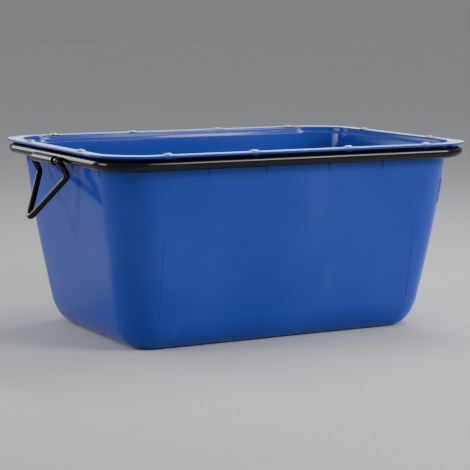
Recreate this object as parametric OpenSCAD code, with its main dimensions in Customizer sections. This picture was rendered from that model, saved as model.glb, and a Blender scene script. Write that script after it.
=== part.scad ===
// Crane-liftable mortar tub: a tapered plastic tub riveted to a steel tube
// frame, with a swinging lifting bail in a hinge barrel at each end.
// Origin at the centre of the base, +X along the length, +Z up, millimetres.

/* [Tub] */
// Length over the rim
rim_length = 1000; // [960:5:1040]
// Width over the rim
rim_width = 697; // [680:1:740]
// Height of the rim above the floor
rim_height = 460; // [430:1:480]
// Length of the wall's straight taper carried down to the floor
base_length = 794; // [760:2:820]
// Width of the wall's straight taper carried down to the floor
base_width = 508; // [480:2:530]
// Corner radius of the wall at the rim
top_corner_r = 103; // [96:1:108]
// Corner radius of the wall at the floor
base_corner_r = 77; // [66:1:84]
// How far the wall swells outside its straight taper halfway up
wall_swell = 4.5; // [0:0.5:8]
// Thickness of the wall
wall_t = 4; // [3:0.5:5]
// Height of the rounded foot of the wall
foot_height = 70; // [60:1:90]
// How far the rounded foot comes in at the floor
foot_inset = 40.5; // [34:0.5:46]

/* [Rim] */
// Width of the flange outside the wall
flange_w = 31.5; // [30:0.5:33]
// Corner radius of the flange's outer edge
rim_corner_r = 109; // [106:1:114]
// Thickness of the flange
flange_t = 6; // [5:0.5:7]
// Rounding of the flange's outer edge
edge_round_r = 2.4; // [1.5:0.1:2.4]
// Gap between the flange and the frame tube, filled by a boss at each rivet
tube_gap = 4; // [2:0.5:6]
// Radius of the bosses
boss_r = 10; // [8:0.5:12]
// Height of the stacking ledge below the rim
ledge_drop = 18; // [16:1:20]

/* [Frame] */
// Outer radius of the frame tube
tube_r = 13.45; // [12.5:0.05:13.5]
// Wall of the frame tube
tube_wall = 2.6; // [2:0.1:3.2]
// Distance of the frame tube's centreline outside the wall
tube_out = 12.5; // [12:0.1:12.7]
// Centreline radius of the frame tube's bends
tube_bend_r = 87.5; // [84:0.5:92]

/* [Lifting bails] */
// Radius of the bail rod
rod_r = 7.5; // [6.5:0.25:7.5]
// Outer radius of the hinge barrel
barrel_r = 11.15; // [10.9:0.05:11.5]
// Inner radius of the hinge barrel
barrel_bore_r = 8.15; // [8:0.05:8.4]
// Half the length of the hinge barrel
barrel_half = 60; // [50:1:66]
// Height of the frame tube's centreline above the barrel's
barrel_drop = 5; // [3:0.5:8]
// Half the distance between the bail's two legs
leg_half = 85; // [82:1:90]
// Horizontal distance from the pivot in to the knee
knee_in = 20.5; // [16:0.5:21]
// Depth of the knee below the pivot
knee_down = 35.5; // [34:0.5:42]
// Horizontal distance from the pivot out to the apex
apex_out = 45; // [38:1:48]
// Depth of the apex below the pivot
apex_down = 143; // [134:1:150]
// Centreline radius of the bends in the rod
rod_bend_r = 14; // [13:0.5:15]

/* [Rivets] */
// Distance of the inner rivets from the middle of a long side
rivet_x_inner = 126; // [110:1:140]
// Distance of the outer rivets from the middle of a long side
rivet_x_outer = 346; // [330:1:352]
// Distance of the end rivets from the middle of a short side
rivet_y_end = 153; // [140:1:190]
// Radius of the rivet's shank
rivet_r = 3.2; // [2.4:0.1:3.2]
// Radius of the washer
washer_r = 12.5; // [11:0.5:13]
// Thickness of the washer
washer_t = 1.5; // [1.2:0.1:2]

/* [Hidden] */

corner_steps = 14;
arc_steps = 4;
foot_steps = 9;
wall_steps = 5;
ledge_steps = 5;
ledge_height = 8;
ledge_w = 4.5;
ledge_inner_d = 0.5;
inner_round_r = 5;
underside_round_r = 3;
floor_t = 5;

underside_z = rim_height - flange_t;
ledge_z = rim_height - ledge_drop;

tube_bore_r = tube_r - tube_wall;
tube_z = underside_z - tube_gap - tube_r;
tube_x = tenth(wall_half_length(underside_z) + tube_out);
tube_y = tenth(wall_half_width(underside_z) + tube_out);
tube_fn = 64;
fine_fn = 180;
bend_thinning = 0.03;
bend_overlap = 0.5;

weld_root_r = tube_bore_r + 0.4;
weld_half = 2.2;
weld_crown = 0.15;
spigot_clearance = 0.1;
spigot_wall = 2.2;
spigot_half = 40;

barrel_spacing = tube_r + barrel_r;
barrel_x = tube_x + sqrt(barrel_spacing ^ 2 - barrel_drop ^ 2);
barrel_z = tube_z - barrel_drop;
bead_length = 34;
bead_near = 2.2;
bead_far = 5.4;
bead_half = 3;
rod_end_gap = 3;

hole_r = rivet_r + 0.1;
pin_r = rivet_r * 0.4;
pin_hole_r = pin_r + 0.05;
head_r = 8;
head_h = 2.6;
head_edge = 0.8;
bulb_r = rivet_r + 1.6;
bulb_h = 6;
bulb_z = tube_z + sqrt(tube_bore_r ^ 2 - bulb_r ^ 2) - 0.1;
pin_drop = 3;
washer_z = rim_height;
head_z = washer_z + washer_t;

long_side_x = [-rivet_x_outer, -rivet_x_inner, rivet_x_inner, rivet_x_outer];
short_side_y = [-rivet_y_end, rivet_y_end];

gusset_x = [-235, -84, 84, 235];
gusset_y = [-214, -62, 62, 214];
gusset_z = [401, 421];
slim_rib_x = [-338, 338];
slim_rib_z = [70, 265];
lug_z = [302, 372];
lug_angle = [6, 52];
lug_proud = 4;
lug_steps = 10;
boss_gap = 0.05;

function tenth(v) = round(10 * v) / 10;
function mix(a, b, t) = a + (b - a) * t;
function swell(z) = wall_swell * sin(180 * min(1, z / ledge_z));
function wall_half(base, rim, z) = mix(base / 2, rim / 2 - flange_w, z / rim_height) + swell(z);
function wall_half_length(z) = wall_half(base_length, rim_length, z);
function wall_half_width(z) = wall_half(base_width, rim_width, z);
function wall_corner_r(z) = mix(base_corner_r, top_corner_r, z / rim_height);

// Corner radius at height z, moved out by d: the flange's corners are sharper than the wall's
function corner_r(z, d) =
    wall_corner_r(z) + (d > 0 ? d * (rim_corner_r - top_corner_r) / flange_w : d);

// Inward shift of the wall's outer face in the rounded foot
function foot_shift(z) = z >= foot_height ? 0
    : -foot_inset * (1 - sqrt(1 - ((foot_height - z) / foot_height) ^ 2));

// One closed outline of the tub at height z, moved out by d from the wall
function ring(z, d) =
    let (
        r = corner_r(z, d),
        cx = wall_half_length(z) + d - r,
        cy = wall_half_width(z) + d - r
    )
    [for (q = [0 : 3]) for (i = [0 : corner_steps])
        let (a = 90 * (q + i / corner_steps), sx = q == 0 || q == 3 ? 1 : -1, sy = q < 2 ? 1 : -1)
        [sx * cx + r * cos(a), sy * cy + r * sin(a), z]];

// Section points are [height, distance outside the wall]
function arc(z, d, r, start, stop) =
    [for (i = [0 : arc_steps]) let (a = mix(start, stop, i / arc_steps)) [z + r * sin(a), d + r * cos(a)]];
function foot(z0, inner) =
    [for (i = [0 : foot_steps]) let (a = 90 * i / foot_steps)
        [z0 + (foot_height - z0) * (1 - cos(a)), -inner - (foot_inset - inner) * (1 - sin(a))]];
function wall(d) = [for (i = [1 : wall_steps - 1]) [mix(foot_height, ledge_z, i / wall_steps), d]];
function ledge(d0, d1) =
    [for (i = [0 : ledge_steps]) let (t = i / ledge_steps)
        [ledge_z + ledge_height * t, mix(d0, d1, (1 - cos(180 * t)) / 2)]];
function reversed(list) = [for (i = [len(list) - 1 : -1 : 0]) list[i]];

outer_section = concat(
    foot(0, 0),
    wall(0),
    ledge(0, ledge_w),
    arc(underside_z - underside_round_r, ledge_w + underside_round_r, underside_round_r, 180, 90),
    arc(underside_z + edge_round_r, flange_w - edge_round_r, edge_round_r, -90, 0),
    arc(rim_height - edge_round_r, flange_w - edge_round_r, edge_round_r, 0, 90)
);
inner_section = concat(
    arc(rim_height - inner_round_r, ledge_inner_d + inner_round_r, inner_round_r, 90, 180),
    reversed(ledge(-wall_t, ledge_inner_d)),
    reversed(wall(-wall_t)),
    reversed(foot(floor_t, wall_t))
);

module loft(section) {
    n = 4 * (corner_steps + 1);
    last = len(section) - 1;
    sides = [for (k = [0 : last - 1]) for (i = [0 : n - 1])
        let (j = (i + 1) % n) [k * n + i, (k + 1) * n + i, (k + 1) * n + j, k * n + j]];
    bottom = [[for (i = [0 : n - 1]) i]];
    floor_face = [[for (i = [n - 1 : -1 : 0]) last * n + i]];
    polyhedron(
        points = [for (s = section) each ring(s[0], s[1])],
        faces = concat(sides, bottom, floor_face),
        convexity = 6
    );
}

// A moulded strip on the wall, following its face from z0 to z1
module strip_outline(base, rim, z0, z1, proud0, proud1) {
    steps = 8;
    face = [for (i = [0 : steps])
        let (t = i / steps, z = mix(z0, z1, t))
        [wall_half(base, rim, z) + foot_shift(z), z, mix(proud0, proud1, t)]];
    polygon(concat(
        [for (p = face) [p[0] + p[2], p[1]]],
        [for (p = reversed(face)) [p[0] - wall_t / 2, p[1]]]
    ));
}

module long_side_strip(x, side, z, width, proud) {
    translate([x - side * width / 2, 0, 0])
        rotate([90, 0, side * 90])
            linear_extrude(width)
                strip_outline(base_width, rim_width, z[0], z[1], proud[0], proud[1]);
}

module short_side_strip(y, z, width, proud) {
    translate([0, y + width / 2, 0])
        rotate([90, 0, 0])
            linear_extrude(width)
                strip_outline(base_length, rim_length, z[0], z[1], proud[0], proud[1]);
}

// A stacking lug: a low smooth bulge on a rounded corner of the wall, built as a closed grid
function lug_point(i, k, outside) =
    let (
        a = mix(lug_angle[0], lug_angle[1], i / lug_steps),
        z = mix(lug_z[0], lug_z[1], k / lug_steps),
        rise = min(1, 3 * sin(180 * i / lug_steps)) * min(1, 3 * sin(180 * k / lug_steps)),
        r = wall_corner_r(z) + (outside ? lug_proud * rise - 0.2 : -wall_t / 2),
        cx = wall_half_length(z) - wall_corner_r(z),
        cy = wall_half_width(z) - wall_corner_r(z)
    )
    [cx + r * cos(a), -cy - r * sin(a), z];
module corner_lug() {
    n = lug_steps + 1;
    grid = [for (outside = [true, false]) for (k = [0 : lug_steps]) for (i = [0 : lug_steps])
        lug_point(i, k, outside)];
    cells = [for (k = [0 : lug_steps - 1]) for (i = [0 : lug_steps - 1]) k * n + i];
    edge = concat(
        [for (i = [0 : lug_steps - 1]) i], [for (k = [0 : lug_steps - 1]) k * n + lug_steps],
        [for (i = [lug_steps : -1 : 1]) lug_steps * n + i], [for (k = [lug_steps : -1 : 1]) k * n]
    );
    polyhedron(points = grid, faces = concat(
        [for (c = cells) [c, c + 1, c + n]], [for (c = cells) [c + 1, c + n + 1, c + n]],
        [for (c = cells) [n * n + c, n * n + c + n, n * n + c + 1]],
        [for (c = cells) [n * n + c + 1, n * n + c + n, n * n + c + n + 1]],
        [for (e = [0 : len(edge) - 1]) let (f = (e + 1) % len(edge))
            [edge[e], n * n + edge[e], n * n + edge[f]]],
        [for (e = [0 : len(edge) - 1]) let (f = (e + 1) % len(edge)) [edge[e], n * n + edge[f], edge[f]]]
    ));
}

module each_rivet_place() {
    for (side = [-1, 1]) {
        for (x = long_side_x) translate([x, side * tube_y, 0]) children();
        for (y = short_side_y) translate([side * tube_x, y, 0]) children();
    }
}

module tub() {
    color("royalblue") difference() {
        union() {
            loft(concat(outer_section, inner_section));
            for (side = [-1, 1]) {
                for (x = gusset_x) long_side_strip(x, side, gusset_z, 3, [0.4, 3]);
                for (x = slim_rib_x) long_side_strip(x, side, slim_rib_z, 3, [0.8, 0.8]);
            }
            for (end = [0, 1]) mirror([end, 0, 0]) {
                for (y = gusset_y) short_side_strip(y, gusset_z, 3, [0.4, 3]);
            }
            for (side = [0, 1]) mirror([0, side, 0]) corner_lug();
            each_rivet_place() translate([0, 0, underside_z - tube_gap + boss_gap])
                cylinder(h = tube_gap + flange_t / 2, r = boss_r, $fn = 32);
        }
        each_rivet_place() translate([0, 0, tube_z]) cylinder(h = rim_height, r = hole_r, $fn = 32);
    }
}

// One half of the ring frame, as a solid bar of radius r
module half_ring(r) {
    straight_x = tube_x - tube_bend_r;
    straight_y = tube_y - tube_bend_r;
    for (side = [-1, 1]) {
        translate([-straight_x, side * tube_y, tube_z])
            rotate([0, 90, 0]) cylinder(h = straight_x, r = r, $fn = tube_fn);
        translate([-straight_x, side * straight_y, tube_z])
            rotate([0, 0, side > 0 ? 90 : 180])
                rotate_extrude(angle = 90, $fn = 2 * tube_fn)
                    translate([tube_bend_r, 0]) circle(r = r, $fn = tube_fn);
    }
    translate([-tube_x, straight_y, tube_z])
        rotate([90, 0, 0]) cylinder(h = 2 * straight_y, r = r, $fn = tube_fn);
}

module weld_ring(side) {
    translate([0, side * tube_y, tube_z]) rotate([0, 90, 0]) rotate_extrude($fn = tube_fn) polygon([
        [weld_root_r, 0], [tube_r, -weld_half], [tube_r + weld_crown, 0], [tube_r, weld_half]
    ]);
}

module frame_half() {
    difference() {
        half_ring(tube_r);
        half_ring(tube_bore_r);
        for (side = [-1, 1]) weld_ring(side);
        each_rivet_place() translate([0, 0, tube_z + tube_bore_r / 2])
            cylinder(h = tube_r, r = hole_r, $fn = 32);
    }
}

module frame_tube_left() { color("#16171a") frame_half(); }
module frame_tube_right() { color("#16171a") mirror([1, 0, 0]) frame_half(); }

module frame_spigot(side) {
    r = tube_bore_r - spigot_clearance;
    translate([-spigot_half, side * tube_y, tube_z]) rotate([0, 90, 0]) difference() {
        cylinder(h = 2 * spigot_half, r = r, $fn = tube_fn);
        translate([0, 0, -1]) cylinder(h = 2 * spigot_half + 2, r = r - spigot_wall, $fn = tube_fn);
    }
}
module frame_spigot_front() { color("silver") frame_spigot(-1); }
module frame_spigot_back() { color("silver") frame_spigot(1); }

module frame_weld_front() { color("#16171a") weld_ring(-1); }
module frame_weld_back() { color("#16171a") weld_ring(1); }

module hinge_barrel() {
    translate([-barrel_x, barrel_half, barrel_z]) rotate([90, 0, 0]) difference() {
        cylinder(h = 2 * barrel_half, r = barrel_r, $fn = tube_fn);
        translate([0, 0, -1]) cylinder(h = 2 * barrel_half + 2, r = barrel_bore_r, $fn = tube_fn);
    }
}
module hinge_barrel_left() { color("#1d1e21") hinge_barrel(); }
module hinge_barrel_right() { color("#1d1e21") mirror([1, 0, 0]) hinge_barrel(); }

// Fillet beads in the grooves above and below the line where the two tubes touch
module barrel_weld() {
    tilt = atan2(barrel_drop, tube_x - barrel_x);
    for (y = [barrel_half, bead_length - barrel_half]) difference() {
        translate([-tube_x, y, tube_z]) rotate([90, 0, 0]) linear_extrude(bead_length) rotate(-tilt)
            translate([tube_r, 0]) for (face = [-1, 1]) polygon([
                [-bead_half, face * bead_near], [bead_half, face * bead_near],
                [bead_half, face * bead_far], [-bead_half, face * bead_far]
            ]);
        translate([-tube_x, y + 1, tube_z]) rotate([90, 0, 0])
            cylinder(h = bead_length + 2, r = tube_r, $fn = fine_fn);
        translate([-barrel_x, y + 1, barrel_z]) rotate([90, 0, 0])
            cylinder(h = bead_length + 2, r = barrel_r, $fn = fine_fn);
    }
}
module barrel_weld_left() { color("#1d1e21") barrel_weld(); }
module barrel_weld_right() { color("#1d1e21") mirror([1, 0, 0]) barrel_weld(); }

function unit(v) = v / norm(v);
function euler(ex, ey, ez) = [atan2(ey.z, ez.z), -asin(ex.z), atan2(ex.y, ex.x)];

// How much of each straight the bend at corner i uses up, and how far the straight reaches
function trim(p, i, bend) =
    let (u = unit(p[i] - p[i - 1]), w = unit(p[i + 1] - p[i])) bend * tan(acos(u * w) / 2);
function reach(p, i, bend) = i == 0 || i == len(p) - 1 ? 0 : trim(p, i, bend) - bend_overlap;

// A round rod bent through the points p. Bending thins the rod a little.
module bent_rod(p, r, bend) {
    for (i = [0 : len(p) - 2]) {
        u = unit(p[i + 1] - p[i]);
        start = p[i] + u * reach(p, i, bend);
        stop = p[i + 1] - u * reach(p, i + 1, bend);
        translate(start) rotate([0, acos(u.z), atan2(u.y, u.x)])
            cylinder(h = norm(stop - start), r = r, $fn = 48);
    }
    for (i = [1 : len(p) - 2]) {
        u = unit(p[i] - p[i - 1]);
        w = unit(p[i + 1] - p[i]);
        n = unit(w - u * (w * u));
        translate(p[i] - u * trim(p, i, bend) + n * bend)
            rotate(euler(-n, u, cross(-n, u)))
                rotate_extrude(angle = acos(u * w), $fn = 96)
                    translate([bend, 0]) circle(r = r - bend_thinning, $fn = 48);
    }
}

// A closed bail whose two rod ends meet inside the barrel
module bail() {
    pivot = [-barrel_x, 0, barrel_z];
    near = [[0, -rod_end_gap / 2, 0], [0, -leg_half, 0], [knee_in, -leg_half, -knee_down]];
    apex = [[-apex_out, 0, -apex_down]];
    far = [for (q = reversed(near)) [q.x, -q.y, q.z]];
    bent_rod([for (q = concat(near, apex, far)) pivot + q], rod_r, rod_bend_r);
}
module bail_left() { color("#101113") bail(); }
module bail_right() { color("#101113") mirror([1, 0, 0]) bail(); }

module washer() {
    translate([0, 0, washer_z]) difference() {
        cylinder(h = washer_t, r = washer_r, $fn = 48);
        translate([0, 0, -1]) cylinder(h = washer_t + 2, r = hole_r, $fn = 32);
    }
}

// A blind rivet: a low domed head, a shank and the bulb set inside the tube
module rivet() {
    difference() {
        rotate_extrude($fn = 48) polygon(concat(
            [[0, bulb_z - bulb_h], [bulb_r - 1.2, bulb_z - bulb_h], [bulb_r, bulb_z - bulb_h / 2]],
            [[bulb_r, bulb_z], [rivet_r, bulb_z], [rivet_r, head_z], [head_r, head_z]],
            [for (a = [0 : 15 : 90]) [head_r * cos(a), head_z + head_edge + (head_h - head_edge) * sin(a)]]
        ));
        translate([0, 0, bulb_z - bulb_h - 1]) cylinder(h = rim_height, r = pin_hole_r, $fn = 32);
    }
}

// The broken-off pin left in the rivet, with its round head inside the tube
module rivet_pin() {
    top = head_z + head_h - head_edge;
    below = bulb_z - bulb_h;
    translate([0, 0, below]) cylinder(h = top - below, r = pin_r, $fn = 32);
    translate([0, 0, below - pin_drop]) cylinder(h = pin_drop, r = rivet_r, $fn = 32);
}

module on_long_side(side) { for (x = long_side_x) translate([x, side * tube_y, 0]) children(); }
module on_short_side(side) { for (y = short_side_y) translate([side * tube_x, y, 0]) children(); }

module washers_front() { color("#c9ccc4") on_long_side(-1) washer(); }
module washers_back() { color("#c9ccc4") on_long_side(1) washer(); }
module washers_left() { color("#c9ccc4") on_short_side(-1) washer(); }
module washers_right() { color("#c9ccc4") on_short_side(1) washer(); }
module rivets_front() { color("#d5d8d2") on_long_side(-1) rivet(); }
module rivets_back() { color("#d5d8d2") on_long_side(1) rivet(); }
module rivets_left() { color("#d5d8d2") on_short_side(-1) rivet(); }
module rivets_right() { color("#d5d8d2") on_short_side(1) rivet(); }
module rivet_pins_front() { color("#8d8f8c") on_long_side(-1) rivet_pin(); }
module rivet_pins_back() { color("#8d8f8c") on_long_side(1) rivet_pin(); }
module rivet_pins_left() { color("#8d8f8c") on_short_side(-1) rivet_pin(); }
module rivet_pins_right() { color("#8d8f8c") on_short_side(1) rivet_pin(); }

tub();
frame_tube_left();
frame_tube_right();
frame_spigot_front();
frame_spigot_back();
frame_weld_front();
frame_weld_back();
hinge_barrel_left();
hinge_barrel_right();
barrel_weld_left();
barrel_weld_right();
bail_left();
bail_right();
washers_front();
washers_back();
washers_left();
washers_right();
rivets_front();
rivets_back();
rivets_left();
rivets_right();
rivet_pins_front();
rivet_pins_back();
rivet_pins_left();
rivet_pins_right();
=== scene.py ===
import math

import bmesh
import bpy
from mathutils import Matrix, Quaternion, Vector


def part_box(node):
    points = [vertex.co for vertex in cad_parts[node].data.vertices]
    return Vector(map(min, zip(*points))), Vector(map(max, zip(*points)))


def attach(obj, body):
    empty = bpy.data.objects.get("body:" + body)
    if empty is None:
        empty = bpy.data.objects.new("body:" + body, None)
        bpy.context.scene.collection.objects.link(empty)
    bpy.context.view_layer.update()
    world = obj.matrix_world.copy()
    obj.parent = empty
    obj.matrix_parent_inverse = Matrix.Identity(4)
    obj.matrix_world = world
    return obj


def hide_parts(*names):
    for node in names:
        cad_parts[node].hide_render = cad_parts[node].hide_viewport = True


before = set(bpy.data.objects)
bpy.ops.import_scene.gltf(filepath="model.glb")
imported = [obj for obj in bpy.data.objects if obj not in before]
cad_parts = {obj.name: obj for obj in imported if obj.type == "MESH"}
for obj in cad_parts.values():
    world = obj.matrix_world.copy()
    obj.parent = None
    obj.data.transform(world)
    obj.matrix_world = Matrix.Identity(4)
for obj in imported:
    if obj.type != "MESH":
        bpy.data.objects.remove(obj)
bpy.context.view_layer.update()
ROOT = "tub_and_frame"

# ---------------------------------------------------------------- sizes, in millimetres
MM = 0.001


def box_mm(node):
    low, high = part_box(node)
    return [v / MM for v in low], [v / MM for v in high]


tub_low, tub_high = box_mm("tub")
RIM_LENGTH = tub_high[0] - tub_low[0]
RIM_WIDTH = tub_high[1] - tub_low[1]
RIM_HEIGHT = tub_high[2]

tube_low, tube_high = box_mm("frame_tube_left")
TUBE_R = (tube_high[2] - tube_low[2]) / 2
TUBE_Z = (tube_high[2] + tube_low[2]) / 2
TUBE_X = -tube_low[0] - TUBE_R
TUBE_Y = tube_high[1] - TUBE_R
TUBE_WALL = 2.6

barrel_low, barrel_high = box_mm("hinge_barrel_right")
BARREL_R = (barrel_high[2] - barrel_low[2]) / 2
BARREL_X = (barrel_high[0] + barrel_low[0]) / 2
BARREL_Z = (barrel_high[2] + barrel_low[2]) / 2
BARREL_HALF = barrel_high[1]
BARREL_BORE_R = 8.15

bail_high = box_mm("bail_right")[1]
ROD_R = 7.5
LEG_HALF = bail_high[1] - ROD_R
KNEE_IN = 20.5
KNEE_DOWN = 35.5
APEX_OUT = 45
APEX_DOWN = 143
ROD_BEND_R = 14
ROD_END_GAP = 3
ROD_CLEARANCE = 0.05

# The wall's straight taper, carried down to the floor, and the rim's section
FLANGE_W = 31.5
FLANGE_T = 6
BASE_LENGTH = 794
BASE_WIDTH = 508
TOP_CORNER_R = 103
BASE_CORNER_R = 77
RIM_CORNER_R = 109
WALL_SWELL = 4.5
WALL_T = 4
FLOOR_T = 5
FOOT_HEIGHT = 70
FOOT_INSET = 40.5
LEDGE_Z = RIM_HEIGHT - 18
LEDGE_HEIGHT = 8
LEDGE_W = 4.5
EDGE_ROUND_R = 2.4
UNDERSIDE_ROUND_R = 3
INNER_ROUND_R = 5
INNER_LEDGE_D = 0.5
TUBE_BEND_R = 87.5

RIVET_X = (-346, -126, 126, 346)
RIVET_Y = (-153, 153)
WASHER_R = 12.5
WASHER_T = 1.5
HOLE_R = 3.3
HEAD_R = 8
HEAD_H = 2.6
BOSS_R = 10
BOSS_BEVEL = 0.8
BOSS_GAP = 0.05
BOSS_INSET = 2

GUSSET_X = (-235, -84, 84, 235)
GUSSET_Y = (-214, -62, 62, 214)
GUSSET_Z = (401, 421)
GUSSET_PROUD = (0.4, 3)
SLIM_RIB_X = (-338, 338)
SLIM_RIB_Z = (70, 265)
SLIM_RIB_PROUD = (0.8, 0.8)
RIB_WIDTH = 3
LUG_Z = (302, 372)
LUG_ANGLE = (6, 52)
LUG_PROUD = 3.8
LUG_ROOT = 0.9
LUG_STEEPNESS = 2.6


# ---------------------------------------------------------------- mesh helpers
SHARP_ANGLE = 38


def mix(a, b, t):
    return a + (b - a) * t


def smoothstep(t):
    t = min(max(t, 0), 1)
    return t * t * (3 - 2 * t)


class Build:
    """Collects vertices and faces of one piece, in millimetres."""

    def __init__(self):
        self.verts = []
        self.faces = []

    def loft(self, rings, close_rings=True, caps=True, loop=False):
        base, n = len(self.verts), len(rings[0])
        for r in rings:
            self.verts.extend(Vector(p) for p in r)
        count = len(rings) if loop else len(rings) - 1
        span = n if close_rings else n - 1
        for k in range(count):
            a, b = base + k * n, base + (k + 1) % len(rings) * n
            for i in range(span):
                j = (i + 1) % n
                self.faces.append((a + i, a + j, b + j, b + i))
        if caps and not loop:
            self.faces.append(tuple(base + i for i in reversed(range(n))))
            self.faces.append(tuple(base + (len(rings) - 1) * n + i for i in range(n)))

    def finish(self, name, material, sharp_angle=SHARP_ANGLE):
        mesh = bpy.data.meshes.new(name)
        mesh.from_pydata([v * MM for v in self.verts], [], self.faces)
        bm = bmesh.new()
        bm.from_mesh(mesh)
        bmesh.ops.recalc_face_normals(bm, faces=bm.faces)
        bm.to_mesh(mesh)
        bm.free()
        obj = bpy.data.objects.new(name, mesh)
        bpy.context.scene.collection.objects.link(obj)
        mesh.materials.append(material)
        smooth(mesh, sharp_angle)
        return obj


def smooth(mesh, sharp_angle):
    mesh.shade_smooth()
    mesh.set_sharp_from_angle(angle=math.radians(sharp_angle))


def circle(centre, u, v, radius, segments):
    steps = (2 * math.pi * i / segments for i in range(segments))
    return [centre + (u * math.cos(a) + v * math.sin(a)) * radius for a in steps]


def rounded_path(corners, bend, steps=14):
    """A path through the corners, with each inner corner rounded to the bend radius."""
    corners = [Vector(c) for c in corners]
    path = [corners[0]]
    for before, here, after in zip(corners, corners[1:], corners[2:]):
        u, w = (here - before).normalized(), (after - here).normalized()
        turn = u.angle(w)
        inward = (w - u * w.dot(u)).normalized()
        start = here - u * bend * math.tan(turn / 2)
        middle = start + inward * bend
        for i in range(steps + 1):
            a = turn * i / steps
            path.append(middle + (u * math.sin(a) - inward * math.cos(a)) * bend)
    path.append(corners[-1])
    return path


def densified(path, step):
    """The same path with its long straights split into equal lengths of about one step."""
    out = [path[0]]
    for a, b in zip(path, path[1:]):
        n = max(1, round((b - a).length / step))
        out.extend(a.lerp(b, i / n) for i in range(1, n + 1))
    return out


def path_frames(path):
    """A tangent and two cross directions at each point, carried along without twist."""
    tangents = []
    for i in range(len(path)):
        ahead = path[min(i + 1, len(path) - 1)] - path[i]
        behind = path[i] - path[max(i - 1, 0)]
        tangents.append((ahead.normalized() + behind.normalized()).normalized())
    u = tangents[0].orthogonal().normalized()
    frames = []
    for t in tangents:
        u = (u - t * u.dot(t)).normalized()
        frames.append((t, u, t.cross(u)))
    return frames


def swept_bar(build, path, radius, edge, segments=36):
    """A round bar along the path, with its two end edges rounded over by edge."""
    frames = path_frames(path)
    first, last = frames[0], frames[-1]
    rings = [
        circle(path[0], *first[1:], radius - edge, segments),
        circle(path[0] + first[0] * edge, *first[1:], radius, segments),
    ]
    for point, (_, u, v) in list(zip(path, frames))[1:-1]:
        rings.append(circle(point, u, v, radius, segments))
    rings.append(circle(path[-1] - last[0] * edge, *last[1:], radius, segments))
    rings.append(circle(path[-1], *last[1:], radius - edge, segments))
    build.loft(rings)


def swept_pipe(build, path, radius, bore, segments=40):
    """A hollow round pipe along the path, open at both ends."""
    frames = path_frames(path)
    outer = [circle(p, u, v, radius, segments) for p, (_, u, v) in zip(path, frames)]
    inner = [circle(p, u, v, bore, segments) for p, (_, u, v) in zip(path, frames)]
    build.loft(outer + inner[::-1], caps=False, loop=True)


def lathe(build, profile, centre, axis="Z", segments=40, loop=False):
    """Turns a profile of (radius, height) points about an axis through centre."""
    u, v, w = {
        "Z": (Vector((1, 0, 0)), Vector((0, 1, 0)), Vector((0, 0, 1))),
        "Y": (Vector((0, 0, 1)), Vector((1, 0, 0)), Vector((0, 1, 0))),
    }[axis]
    centre = Vector(centre)
    rings = [circle(centre + w * h, u, v, r, segments) for r, h in profile]
    build.loft(rings, caps=not loop, loop=loop)


def boolean(target, tool, operation):
    """Joins or cuts one closed mesh with another, and removes the tool."""
    step = target.modifiers.new(operation, "BOOLEAN")
    step.operation = operation
    step.solver = "EXACT"
    step.object = tool
    bpy.context.view_layer.objects.active = target
    bpy.ops.object.modifier_apply(modifier=step.name)
    bpy.data.objects.remove(tool)


# ---------------------------------------------------------------- materials
class Material:
    """A principled material with its procedural nodes, addressed in short calls."""

    def __init__(self, name, **sockets):
        self.material = bpy.data.materials.new(name)
        self.material.use_nodes = True
        self.nodes = self.material.node_tree.nodes
        self.links = self.material.node_tree.links
        self.shader = self.nodes["Principled BSDF"]
        for socket, value in sockets.items():
            self.shader.inputs[socket.replace("_", " ")].default_value = value
        self.place = self.nodes.new("ShaderNodeTexCoord").outputs["Object"]

    def link(self, source, target):
        self.links.new(source, target)

    def scaled(self, x, y, z):
        """The object's coordinates, stretched by a factor along each axis."""
        mapping = self.nodes.new("ShaderNodeMapping")
        mapping.inputs["Scale"].default_value = (x, y, z)
        self.link(self.place, mapping.inputs["Vector"])
        return mapping.outputs["Vector"]

    def noise(self, scale, detail=3, roughness=0.5, vector=None):
        node = self.nodes.new("ShaderNodeTexNoise")
        node.inputs["Scale"].default_value = scale
        node.inputs["Detail"].default_value = detail
        node.inputs["Roughness"].default_value = roughness
        self.link(vector or self.place, node.inputs["Vector"])
        return node.outputs["Fac"]

    def ramp(self, source, low, high, out_low=0.0, out_high=1.0):
        node = self.nodes.new("ShaderNodeMapRange")
        node.interpolation_type = "SMOOTHSTEP"
        ranges = (("From Min", low), ("From Max", high), ("To Min", out_low), ("To Max", out_high))
        for socket, value in ranges:
            node.inputs[socket].default_value = value
        self.link(source, node.inputs["Value"])
        return node.outputs["Result"]

    def math(self, operation, *values):
        node = self.nodes.new("ShaderNodeMath")
        node.operation = operation
        for socket, value in zip(node.inputs, values):
            if isinstance(value, (int, float)):
                socket.default_value = value
            else:
                self.link(value, socket)
        return node.outputs["Value"]

    def blend(self, factor, a, b):
        """Mixes two colours, each a tuple or another node's output."""
        node = self.nodes.new("ShaderNodeMix")
        node.data_type = "RGBA"
        self.link(factor, node.inputs["Factor"])
        colour_a, colour_b, result = node.inputs[6], node.inputs[7], node.outputs[2]
        for socket, value in ((colour_a, a), (colour_b, b)):
            if isinstance(value, tuple):
                socket.default_value = (*value, 1)
            else:
                self.link(value, socket)
        return result

    def height_axis(self):
        node = self.nodes.new("ShaderNodeSeparateXYZ")
        self.link(self.place, node.inputs["Vector"])
        return node.outputs["Z"]

    def bump(self, *layers):
        """Adds bump layers, each (source, strength, distance in metres)."""
        normal = None
        for source, strength, distance in layers:
            node = self.nodes.new("ShaderNodeBump")
            node.inputs["Strength"].default_value = strength
            node.inputs["Distance"].default_value = distance
            self.link(source, node.inputs["Height"])
            if normal:
                self.link(normal, node.inputs["Normal"])
            normal = node.outputs["Normal"]
        self.link(normal, self.shader.inputs["Normal"])

    def colour(self, source):
        self.link(source, self.shader.inputs["Base Color"])

    def roughness(self, source):
        self.link(source, self.shader.inputs["Roughness"])


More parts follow.
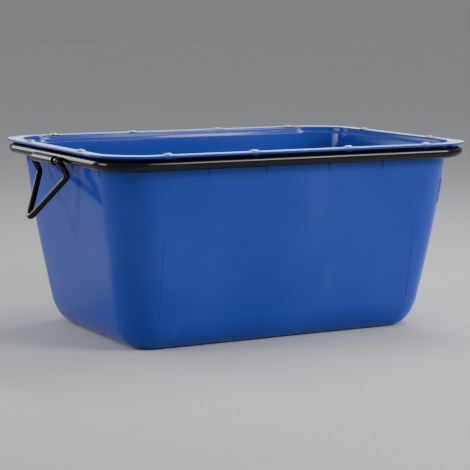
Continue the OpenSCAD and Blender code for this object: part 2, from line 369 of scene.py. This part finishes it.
def blue_polyethylene():
    """Glossy moulded plastic: faint mottling, pale streaks that grow low down, specks and scratches."""
    m = Material("blue_polyethylene", IOR=1.28)
    deep, fresh, scuffed = (0.017, 0.050, 0.34), (0.024, 0.059, 0.38), (0.040, 0.088, 0.40)
    colour = m.blend(m.ramp(m.noise(3.5), 0.35, 0.65), deep, fresh)
    streaks = m.ramp(m.noise(9, 6, 0.65, m.scaled(1, 1, 0.25)), 0.56, 0.76)
    low_down = m.ramp(m.height_axis(), 0.16, 0.0)
    streak_strength = m.math("MULTIPLY_ADD", low_down, 0.35, 0.5)
    colour = m.blend(m.math("MULTIPLY", streaks, streak_strength), colour, scuffed)
    specks = m.ramp(m.noise(900, 1), 0.72, 0.80, 0, 0.25)
    colour = m.blend(specks, colour, scuffed)
    m.colour(colour)
    scratches = m.ramp(m.noise(160, 4, 0.7, m.scaled(0.06, 0.06, 1)), 0.62, 0.74)
    patches = m.ramp(m.noise(5, 4), 0.3, 0.7, 0.09, 0.15)
    worn = m.math("MULTIPLY", m.math("MAXIMUM", scratches, streaks), 0.05)
    m.roughness(m.math("ADD", patches, worn))
    m.bump((m.noise(7, 2), 0.30, 0.0012), (m.noise(420, 2), 0.05, 0.0002), (scratches, 0.05, 0.0001))
    return m.material


def black_enamel(name, wear=0.0):
    """Gloss black paint on steel, with orange peel, dust and small pale chips."""
    m = Material(name, IOR=1.42, Specular_IOR_Level=0.34)
    paint, dust, primer = (0.004, 0.004, 0.004), (0.016, 0.015, 0.014), (0.10, 0.095, 0.09)
    dusty = m.ramp(m.noise(34, 5, 0.7), 0.60, 0.85, 0, 0.5)
    colour = m.blend(dusty, paint, dust)
    chips = m.ramp(m.noise(210, 4, 0.7), 0.70 - wear, 0.76 - wear, 0, 0.7)
    colour = m.blend(chips, colour, primer)
    m.colour(colour)
    gloss = m.ramp(m.noise(18, 3), 0.3, 0.7, 0.12, 0.20)
    m.roughness(m.math("ADD", gloss, m.math("MULTIPLY", chips, 0.35)))
    m.bump((m.noise(650, 2), 0.08, 0.0002), (m.noise(60, 2), 0.06, 0.0004), (chips, -0.2, 0.0001))
    return m.material


def zinc_plate(name, tint):
    """Bright zinc on steel: a patchy pale bloom, specks of dark grime and a fine grain."""
    m = Material(name, Metallic=1.0)
    bloom = tuple(min(1, c * 1.12) for c in tint)
    grime = tuple(c * 0.45 for c in tint)
    colour = m.blend(m.ramp(m.noise(160, 4), 0.4, 0.65), tint, bloom)
    colour = m.blend(m.ramp(m.noise(420, 5, 0.7), 0.62, 0.72, 0, 0.6), colour, grime)
    m.colour(colour)
    m.roughness(m.ramp(m.noise(300, 4), 0.3, 0.7, 0.30, 0.48))
    m.bump((m.noise(900, 3), 0.12, 0.0001), (m.noise(120, 2), 0.1, 0.0002))
    return m.material


def mill_steel():
    """Bare steel with its drawn grain and blotches of mill scale."""
    m = Material("mill_steel", Metallic=1.0)
    colour = m.blend(m.ramp(m.noise(60, 5, 0.7), 0.45, 0.6), (0.30, 0.30, 0.31), (0.15, 0.14, 0.135))
    m.colour(colour)
    m.roughness(m.ramp(m.noise(90, 3), 0.3, 0.7, 0.38, 0.58))
    m.bump((m.noise(500, 3, 0.6, m.scaled(0.1, 1, 1)), 0.2, 0.0001))
    return m.material


def studio_floor():
    """Pale seamless paper with a faint mottle and a fine grain."""
    m = Material("studio_floor")
    m.colour(m.blend(m.noise(2.0, 4), (0.52, 0.52, 0.525), (0.56, 0.56, 0.565)))
    m.roughness(m.ramp(m.noise(9, 4), 0.3, 0.7, 0.75, 0.9))
    m.bump((m.noise(800, 2), 0.03, 0.0002))
    return m.material


BLUE = blue_polyethylene()
BLACK = black_enamel("black_enamel")
BLACK_ROD = black_enamel("black_enamel_rod", wear=0.012)
ZINC = zinc_plate("zinc_washer", (0.60, 0.63, 0.55))
RIVET_STEEL = zinc_plate("zinc_rivet", (0.68, 0.70, 0.65))
BARE_STEEL = mill_steel()


# ---------------------------------------------------------------- tub
def wall_half(base, rim, z):
    swell = WALL_SWELL * math.sin(math.pi * min(1, z / LEDGE_Z))
    return mix(base / 2, rim / 2 - FLANGE_W, z / RIM_HEIGHT) + swell


def half_length(z):
    return wall_half(BASE_LENGTH, RIM_LENGTH, z)


def half_width(z):
    return wall_half(BASE_WIDTH, RIM_WIDTH, z)


def corner_radius(z, d=0):
    """The corner radius at height z, moved out by d: the flange's corners are sharper than the wall's."""
    wall = mix(BASE_CORNER_R, TOP_CORNER_R, z / RIM_HEIGHT)
    return wall + (d * (RIM_CORNER_R - TOP_CORNER_R) / FLANGE_W if d > 0 else d)


def foot_shift(z):
    if z >= FOOT_HEIGHT:
        return 0
    return -FOOT_INSET * (1 - math.sqrt(1 - ((FOOT_HEIGHT - z) / FOOT_HEIGHT) ** 2))


def sag(x, y, z):
    """How far the moulded wall wanders off its true plane: gentle waves, none at the rim or the floor."""
    fade = smoothstep((415 - z) / 110) * smoothstep(z / 30)
    long_wave = 0.75 * math.sin(0.013 * x + 0.008 * y + 0.9) * math.sin(0.016 * z + 0.4)
    short_wave = 0.22 * math.sin(0.033 * x + 0.029 * y - 0.021 * z + 2)
    return fade * (long_wave + short_wave)


CORNER_STEPS = 20
LONG_SIDE_STEPS = 22
SHORT_SIDE_STEPS = 14


def tub_ring(z, d):
    """One closed outline of the tub at height z, moved out by d from the wall."""
    r = corner_radius(z, d)
    cx, cy = half_length(z) + d - r, half_width(z) + d - r
    points = []
    for quarter, (sx, sy) in enumerate(((1, 1), (-1, 1), (-1, -1), (1, -1))):
        centre = Vector((sx * cx, sy * cy, z))
        for i in range(CORNER_STEPS + 1):
            a = math.radians(90) * (quarter + i / CORNER_STEPS)
            points.append(centre + Vector((math.cos(a), math.sin(a), 0)) * r)
        steps = SHORT_SIDE_STEPS if quarter % 2 else LONG_SIDE_STEPS
        along = Vector((0, -2 * sy * cy, 0)) if quarter % 2 else Vector((-2 * sx * cx, 0, 0))
        last = points[-1]
        points.extend(last + along * i / steps for i in range(1, steps))
    middle = Vector((0, 0, z))
    return [p + (p - middle).normalized() * sag(*p) for p in points]


def arc(z, d, r, start, stop, steps=6):
    """Section points (height, distance outside the wall) round an arc."""
    angles = (math.radians(mix(start, stop, i / steps)) for i in range(steps + 1))
    return [(z + r * math.sin(a), d + r * math.cos(a)) for a in angles]


def foot_section(z0, inner, steps=20):
    angles = (math.radians(90 * i / steps) for i in range(steps + 1))
    return [
        (z0 + (FOOT_HEIGHT - z0) * (1 - math.cos(a)), -inner - (FOOT_INSET - inner) * (1 - math.sin(a)))
        for a in angles
    ]


def wall_section(d, steps=13):
    return [(mix(FOOT_HEIGHT, LEDGE_Z, i / steps), d) for i in range(1, steps)]


def ledge_section(d0, d1, steps=9):
    return [
        (LEDGE_Z + LEDGE_HEIGHT * i / steps, mix(d0, d1, (1 - math.cos(math.pi * i / steps)) / 2))
        for i in range(steps + 1)
    ]


def tub_section():
    """The tub's whole section: up the outside, over the flange and down the inside."""
    underside = RIM_HEIGHT - FLANGE_T
    outside = [
        *foot_section(0, 0),
        *wall_section(0),
        *ledge_section(0, LEDGE_W),
        *arc(underside - UNDERSIDE_ROUND_R, LEDGE_W + UNDERSIDE_ROUND_R, UNDERSIDE_ROUND_R, 180, 90),
        (underside, FLANGE_W / 2),
        *arc(underside + EDGE_ROUND_R, FLANGE_W - EDGE_ROUND_R, EDGE_ROUND_R, -90, 0),
        *arc(RIM_HEIGHT - EDGE_ROUND_R, FLANGE_W - EDGE_ROUND_R, EDGE_ROUND_R, 0, 90),
        (RIM_HEIGHT, FLANGE_W / 2),
    ]
    inside = [
        *arc(RIM_HEIGHT - INNER_ROUND_R, INNER_LEDGE_D + INNER_ROUND_R, INNER_ROUND_R, 90, 180),
        *reversed(ledge_section(-WALL_T, INNER_LEDGE_D)),
        *reversed(wall_section(-WALL_T)),
        *reversed(foot_section(FLOOR_T, WALL_T)),
    ]
    return outside + inside


def wall_strip(build, place, z_range, proud, long_side, side):
    """A moulded strip on a wall, following its face, with a softened crown."""
    steps = 10
    root = -WALL_T / 2
    crown = ((-0.5, root), (-0.5, 0), (-0.3, 0.85), (0, 1), (0.3, 0.85), (0.5, 0), (0.5, root))
    rings = []
    for i in range(steps + 1):
        t = i / steps
        z = mix(*z_range, t)
        ends = 0.25 if i in (0, steps) else 1
        face = (half_width(z) if long_side else half_length(z)) + foot_shift(z)
        ring = []
        for across, out in crown:
            depth = out if out <= 0 else out * mix(*proud, t) * ends
            point = (place + across * RIB_WIDTH, side * (face + depth), z)
            ring.append(point if long_side else (point[1], point[0], z))
        rings.append(ring)
    build.loft(rings)


def lug_rise(t):
    """How much of its height the lug has, a share t of the way across it: steep sides, a flat middle."""
    return smoothstep(LUG_STEEPNESS * math.sin(math.pi * t))


def corner_lug(build, side):
    """A low smooth stacking lug on a rounded corner of the right end."""
    steps = 16
    base, n = len(build.verts), steps + 1
    for outside in (True, False):
        for k in range(n):
            for i in range(n):
                a = math.radians(mix(*LUG_ANGLE, i / steps))
                z = mix(*LUG_Z, k / steps)
                rise = lug_rise(i / steps) * lug_rise(k / steps)
                r = corner_radius(z) + (LUG_PROUD * rise - LUG_ROOT if outside else -WALL_T / 2)
                x = half_length(z) - corner_radius(z) + r * math.cos(a)
                y = -(half_width(z) - corner_radius(z)) - r * math.sin(a)
                build.verts.append(Vector((x, side * y, z)))
    back = base + n * n
    for k in range(steps):
        for i in range(steps):
            c = k * n + i
            build.faces.append((base + c, base + c + 1, base + c + n + 1, base + c + n))
            build.faces.append((back + c, back + c + n, back + c + n + 1, back + c + 1))
    edge = list(range(steps)) + [k * n + steps for k in range(steps)]
    edge += [steps * n + i for i in range(steps, 0, -1)] + [k * n for k in range(steps, 0, -1)]
    for e, f in zip(edge, edge[1:] + edge[:1]):
        build.faces.append((base + e, back + e, back + f, base + f))


def rivet_places():
    for side in (-1, 1):
        for x in RIVET_X:
            yield x, side * TUBE_Y
        for y in RIVET_Y:
            yield side * TUBE_X, y


def make_tub():
    shell = Build()
    shell.loft([tub_ring(z, d) for z, d in tub_section()])
    tub = shell.finish("tub_moulding", BLUE)

    details = Build()
    for side in (-1, 1):
        for x in GUSSET_X:
            wall_strip(details, x, GUSSET_Z, GUSSET_PROUD, True, side)
        for x in SLIM_RIB_X:
            wall_strip(details, x, SLIM_RIB_Z, SLIM_RIB_PROUD, True, side)
        for y in GUSSET_Y:
            wall_strip(details, y, GUSSET_Z, GUSSET_PROUD, False, side)
        corner_lug(details, side)
    low = TUBE_Z + TUBE_R + BOSS_GAP
    boss = [(BOSS_R - BOSS_BEVEL, low), (BOSS_R, low + BOSS_BEVEL), (BOSS_R, RIM_HEIGHT - BOSS_INSET)]
    for x, y in rivet_places():
        lathe(details, boss, (x, y, 0))
    boolean(tub, details.finish("tub_details", BLUE), "UNION")

    holes = Build()
    past_rim = RIM_HEIGHT + 5
    for x, y in rivet_places():
        lathe(holes, [(HOLE_R, TUBE_Z), (HOLE_R, past_rim)], (x, y, 0), segments=24)
    boolean(tub, holes.finish("rivet_holes", BLUE), "DIFFERENCE")
    smooth(tub.data, SHARP_ANGLE)
    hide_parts("tub")
    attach(tub, ROOT)


# ---------------------------------------------------------------- steel frame
def make_frame_tube(side, name):
    build = Build()
    plan = ((0, -TUBE_Y), (side * TUBE_X, -TUBE_Y), (side * TUBE_X, TUBE_Y), (0, TUBE_Y))
    corners = [(x, y, TUBE_Z) for x, y in plan]
    path = rounded_path(corners, TUBE_BEND_R, steps=36)
    swept_pipe(build, densified(path, 60), TUBE_R, TUBE_R - TUBE_WALL)
    pipe = build.finish("frame_pipe_" + name, BLACK)
    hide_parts("frame_tube_" + name)
    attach(pipe, ROOT)


def make_barrel(side, name):
    chamfer = 0.8
    profile = [
        (BARREL_BORE_R, -BARREL_HALF + chamfer),
        (BARREL_BORE_R + chamfer, -BARREL_HALF),
        (BARREL_R - chamfer, -BARREL_HALF),
        (BARREL_R, -BARREL_HALF + chamfer),
    ]
    profile += [(r, -h) for r, h in reversed(profile)]
    build = Build()
    lathe(build, profile, (side * BARREL_X, 0, BARREL_Z), axis="Y", segments=48, loop=True)
    barrel = build.finish("hinge_pipe_" + name, BLACK)
    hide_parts("hinge_barrel_" + name)
    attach(barrel, ROOT)


def make_barrel_welds(side, name):
    """Rippled fillet beads above and below the line where the barrel touches the frame tube."""
    length, inset, from_touch, bead_r, ripple, pitch = 32, 1, 3.9, 2.0, 0.16, 2.4
    steps = 64
    to_barrel = Vector((side * (BARREL_X - TUBE_X), 0, BARREL_Z - TUBE_Z)).normalized()
    across = Vector((-to_barrel.z, 0, to_barrel.x))
    touch = Vector((side * TUBE_X, 0, TUBE_Z)) + to_barrel * TUBE_R
    build = Build()
    for face in (-1, 1):
        for end in (-1, 1):
            centre = touch + across * face * from_touch
            rings = []
            for i in range(steps + 1):
                s = i / steps
                y = end * (BARREL_HALF - inset - length * s)
                taper = math.sqrt(max(0.04, 1 - (2 * s - 1) ** 10))
                r = (bead_r + ripple * math.sin(2 * math.pi * length * s / pitch)) * taper
                rings.append(circle(centre + Vector((0, y, 0)), across, to_barrel, r, 16))
            build.loft(rings)
    weld = build.finish("weld_beads_" + name, BLACK, sharp_angle=60)
    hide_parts("barrel_weld_" + name)
    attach(weld, ROOT)


def make_bail(side, name):
    def at(inward, y, down):
        return (side * (BARREL_X - inward), y, BARREL_Z - down)

    corners = [at(0, -ROD_END_GAP / 2, 0), at(0, -LEG_HALF, 0), at(KNEE_IN, -LEG_HALF, KNEE_DOWN)]
    corners.append(at(-APEX_OUT, 0, APEX_DOWN))
    corners += [at(KNEE_IN, LEG_HALF, KNEE_DOWN), at(0, LEG_HALF, 0), at(0, ROD_END_GAP / 2, 0)]
    build = Build()
    path = densified(rounded_path(corners, ROD_BEND_R), 12)
    swept_bar(build, path, ROD_R - ROD_CLEARANCE, edge=0.8)
    rod = build.finish("lifting_rod_" + name, BLACK_ROD)
    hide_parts("bail_" + name)
    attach(rod, name + "_bail")


# ---------------------------------------------------------------- fasteners
def side_places(name):
    """The rivet places on one side of the rim."""
    if name in ("front", "back"):
        y = -TUBE_Y if name == "front" else TUBE_Y
        return [(x, y, 0) for x in RIVET_X]
    x = -TUBE_X if name == "left" else TUBE_X
    return [(x, y, 0) for y in RIVET_Y]


def make_washers(name):
    """Pressed washers: a slightly rolled outer edge and a rounded hole."""
    low, high = RIM_HEIGHT, RIM_HEIGHT + WASHER_T
    profile = [
        (HOLE_R, low), (WASHER_R - 0.2, low), (WASHER_R, low + 0.3), (WASHER_R - 0.1, high - 0.5),
        (WASHER_R - 0.5, high - 0.12), (WASHER_R - 1.3, high), (HOLE_R + 0.5, high), (HOLE_R, high - 0.4),
    ]
    build = Build()
    for place in side_places(name):
        lathe(build, profile, place, segments=56, loop=True)
    washers = build.finish("washer_set_" + name, ZINC, sharp_angle=50)
    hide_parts("washers_" + name)
    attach(washers, ROOT)


def make_rivets(name):
    """Blind rivets: a domed head with a dimple round the pin, a shank and the bulb inside the tube."""
    seat = RIM_HEIGHT + WASHER_T
    inner_r = TUBE_R - TUBE_WALL
    shank_r, bulb_r, bulb_h, pin_r = 3.2, 4.8, 6, 1.33
    bulb_top = TUBE_Z + math.sqrt(inner_r ** 2 - bulb_r ** 2) - 0.1
    skirt = 0.8
    dome = [
        (HEAD_R * math.cos(a), seat + skirt + (HEAD_H - skirt) * math.sin(a))
        for a in (math.radians(mix(0, 76, i / 9)) for i in range(10))
    ]
    profile = [
        (pin_r, bulb_top - bulb_h), (bulb_r - 1.2, bulb_top - bulb_h), (bulb_r, bulb_top - bulb_h / 2),
        (bulb_r - 0.3, bulb_top - 0.6), (shank_r, bulb_top), (shank_r, seat), (HEAD_R - 0.3, seat),
        (HEAD_R, seat + 0.3), *dome, (pin_r + 0.2, seat + HEAD_H - 0.5), (pin_r, seat + HEAD_H - 1),
    ]
    build = Build()
    for place in side_places(name):
        lathe(build, profile, place, segments=48, loop=True)
    rivets = build.finish("rivet_set_" + name, RIVET_STEEL, sharp_angle=50)
    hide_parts("rivets_" + name)
    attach(rivets, ROOT)


# ---------------------------------------------------------------- CAD nodes that stay, with better materials
def dress(node, material):
    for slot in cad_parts[node].material_slots:
        slot.material = material


# ---------------------------------------------------------------- floor, light and camera
HORIZON_LIGHT = 0.228
ZENITH_LIGHT = 0.42


def make_floor():
    half, floor_z, steps = 30.0, -0.5, 12
    build = Build()
    places = [mix(-half, half, i / steps) / MM for i in range(steps + 1)]
    rows = [[(x, y, floor_z) for x in places] for y in places]
    build.loft(rows, close_rings=False, caps=False)
    build.finish("studio_floor", studio_floor())


def area_light(name, place, aim, size, power, colour=(1, 1, 1), spread=180):
    data = bpy.data.lights.new(name, "AREA")
    data.shape = "RECTANGLE"
    data.size, data.size_y = size
    data.energy = power
    data.color = colour
    data.spread = math.radians(spread)
    light = bpy.data.objects.new(name, data)
    light.location = place
    light.visible_camera = False
    light.rotation_euler = (Vector(aim) - Vector(place)).to_track_quat("-Z", "Y").to_euler()
    bpy.context.scene.collection.objects.link(light)


def make_world():
    """A plain grey studio: as bright as the far floor at the horizon, paler above."""
    world = bpy.data.worlds.new("studio")
    world.use_nodes = True
    nodes, links = world.node_tree.nodes, world.node_tree.links
    direction = nodes.new("ShaderNodeTexCoord").outputs["Generated"]
    axes = nodes.new("ShaderNodeSeparateXYZ")
    links.new(direction, axes.inputs["Vector"])
    rise = nodes.new("ShaderNodeMapRange")
    rise.interpolation_type = "SMOOTHSTEP"
    rise.inputs["From Max"].default_value = 0.5
    rise.inputs["To Min"].default_value = HORIZON_LIGHT
    rise.inputs["To Max"].default_value = ZENITH_LIGHT
    links.new(axes.outputs["Z"], rise.inputs["Value"])
    background = nodes["Background"]
    background.inputs["Color"].default_value = (0.96, 0.98, 1, 1)
    links.new(rise.outputs["Result"], background.inputs["Strength"])
    bpy.context.scene.world = world


def make_light():
    area_light("overhead", (1.15, 0.35, 2.7), (0, 0, 0.4), (2.6, 0.35), 56)
    area_light("back_left_softbox", (-1.4, 2.0, 1.05), (-0.5, 0, 0.4), (0.9, 1.4), 2.6, spread=60)
    area_light(
        "back_panel", (2.8, 5.0, 1.3), (0, 0, 0.4), (5.0, 1.1), 2.6, colour=(0.74, 0.88, 1), spread=40
    )
    area_light("left_softbox", (-3.6, 0.9, 1.5), (-0.4, 0, 0.3), (1.6, 1.4), 5.4, spread=50)
    area_light("front_right_softbox", (2.8, -3.6, 2.7), (0, 0, 0.2), (2.4, 1.5), 186)


CAMERA_TARGET = Vector((0.0024, 0, 0.2197))
CAMERA_DISTANCE = 4.197
CAMERA_AZIMUTH = math.radians(28.58)
CAMERA_ELEVATION = math.radians(7.74)
CAMERA_ROLL = math.radians(0.25)
CAMERA_LENS = 128.6


def make_camera():
    data = bpy.data.cameras.new("photo_view")
    data.sensor_width = 36
    data.lens = CAMERA_LENS
    data.clip_end = 60
    camera = bpy.data.objects.new("photo_view", data)
    level = math.cos(CAMERA_ELEVATION)
    towards = Vector((
        -math.sin(CAMERA_AZIMUTH) * level, -math.cos(CAMERA_AZIMUTH) * level, math.sin(CAMERA_ELEVATION)
    ))
    camera.location = CAMERA_TARGET + towards * CAMERA_DISTANCE
    camera.rotation_mode = "QUATERNION"
    camera.rotation_quaternion = Quaternion(towards, CAMERA_ROLL) @ (-towards).to_track_quat("-Z", "Y")
    bpy.context.scene.collection.objects.link(camera)
    bpy.context.scene.camera = camera


make_camera()
make_world()
make_light()
make_floor()
make_tub()
for sign, which in ((-1, "left"), (1, "right")):
    make_frame_tube(sign, which)
    make_barrel(sign, which)
    make_barrel_welds(sign, which)
    make_bail(sign, which)
for which in ("front", "back", "left", "right"):
    make_washers(which)
    make_rivets(which)
    dress("rivet_pins_" + which, BARE_STEEL)
for which in ("front", "back"):
    dress("frame_spigot_" + which, BARE_STEEL)
    dress("frame_weld_" + which, BLACK)
